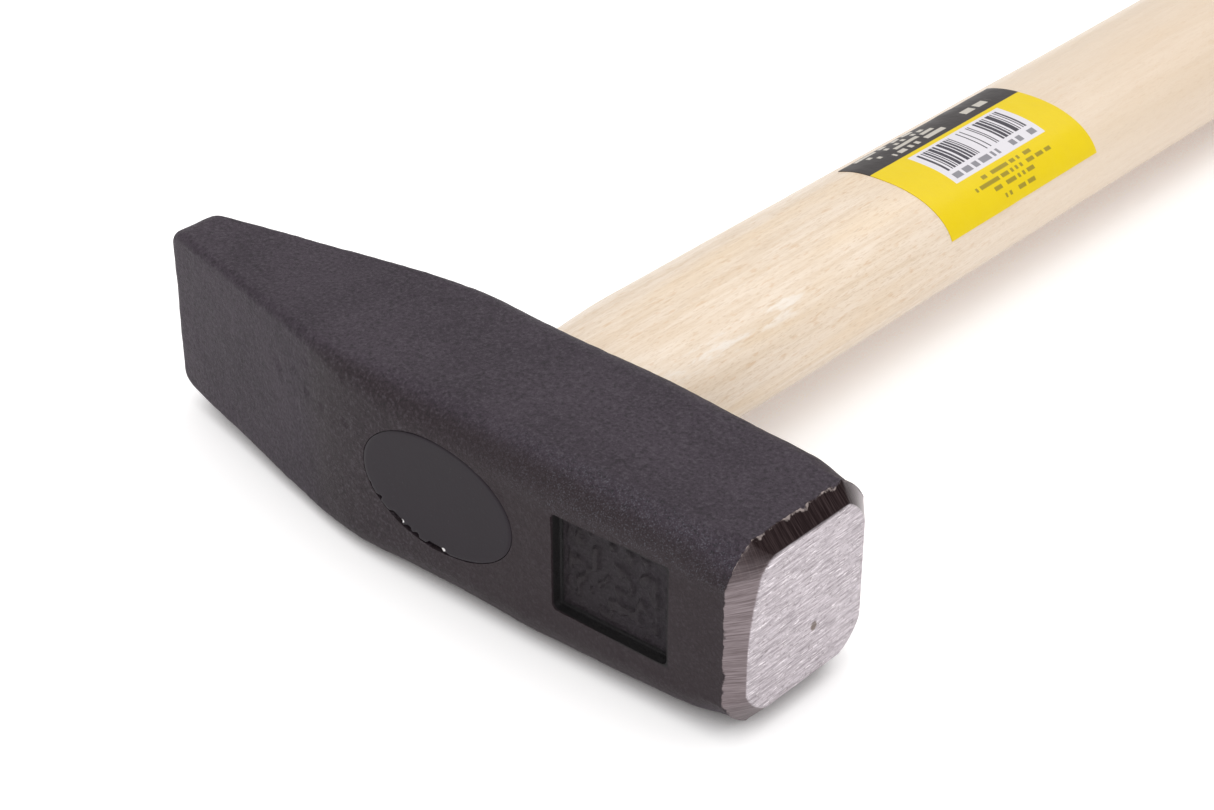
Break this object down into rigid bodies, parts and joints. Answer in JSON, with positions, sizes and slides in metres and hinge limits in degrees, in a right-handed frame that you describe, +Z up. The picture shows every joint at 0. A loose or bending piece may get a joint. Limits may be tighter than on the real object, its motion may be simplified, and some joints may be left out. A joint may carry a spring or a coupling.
{
  "type": "cross peen hammer",
  "caption": "Hand hammer with a square striking face, a wedge-shaped cross peen and an oval wooden handle wedged into the head's eye.",
  "frame": {"origin": "on the cheek the hammer lies on, below the eye's axis, at the middle of the head's depth", "axes": "+X towards the striking face, +Y along the handle away from the head, +Z up through the cheeks"},
  "size_m": [0.1142, 0.32, 0.03],
  "materials": {
    "head_paint": "matte black scale and paint on forged steel",
    "handle_wood": "clear-lacquered pale hardwood",
    "wedge_wood": "raw hardwood",
    "wedge_steel": "bare mild steel",
    "seal_resin": "satin black cast resin",
    "label_film": "printed self-adhesive film"
  },
  "bodies": {
    "root": {"head": "head_paint", "handle": "handle_wood", "wood_wedge": "wedge_wood", "steel_wedge": "wedge_steel", "eye_seal": "seal_resin", "label": "label_film"}
  },
  "joints": []
}
